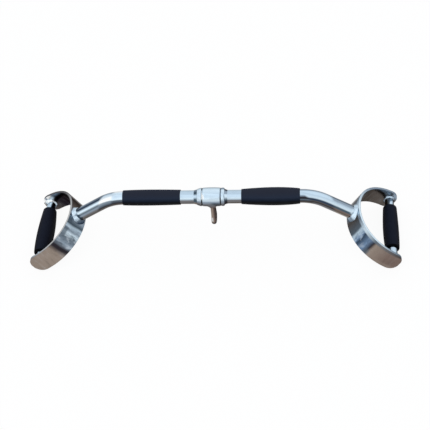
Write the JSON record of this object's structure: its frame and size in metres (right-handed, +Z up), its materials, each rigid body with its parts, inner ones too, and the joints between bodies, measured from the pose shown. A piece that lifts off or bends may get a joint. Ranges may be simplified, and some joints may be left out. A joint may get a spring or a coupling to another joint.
{
  "type": "lat pulldown bar",
  "caption": "Bent chrome cable bar with rubber grips, a D-shaped strap bracket with a cross handle at each end, and a centre sleeve whose eye turns on the bar.",
  "frame": {"origin": "on the surface that the bar stands on, below the middle of the bar", "axes": "+X along the bar to its right end, +Y from front to back along the cross handles, +Z up; the hanger's eye hangs along -Z"},
  "size_m": [0.7664, 0.18, 0.1413],
  "materials": {
    "chrome": "bright chrome plate over polished steel",
    "weld_bead": "rippled weld bead under the chrome plate",
    "grip_rubber": "matt black rubber with a fine grain",
    "bush_nylon": "black nylon"
  },
  "bodies": {
    "bar": {"main_bar": "chrome", "left_d_strap": "chrome", "right_d_strap": "chrome", "left_handle_rod": "chrome", "right_handle_rod": "chrome", "left_bar_grip": "grip_rubber", "right_bar_grip": "grip_rubber", "left_handle_grip": "grip_rubber", "right_handle_grip": "grip_rubber", "left_collar": "chrome", "right_collar": "chrome", "left_collar_weld": "weld_bead", "right_collar_weld": "weld_bead", "left_arm_weld": "weld_bead", "right_arm_weld": "weld_bead", "left_front_handle_weld": "weld_bead", "left_rear_handle_weld": "weld_bead", "right_front_handle_weld": "weld_bead", "right_rear_handle_weld": "weld_bead"},
    "hanger": {"hanger_sleeve": "chrome", "hanger_eye": "chrome", "front_eye_weld": "weld_bead", "rear_eye_weld": "weld_bead", "left_bush": "bush_nylon", "right_bush": "bush_nylon"}
  },
  "joints": [
    {"name": "hanger_spin", "type": "hinge", "parent": "bar", "child": "hanger", "pos_m": [0, 0, 0.1217], "axis": [1, 0, 0], "continuous": true}
  ]
}
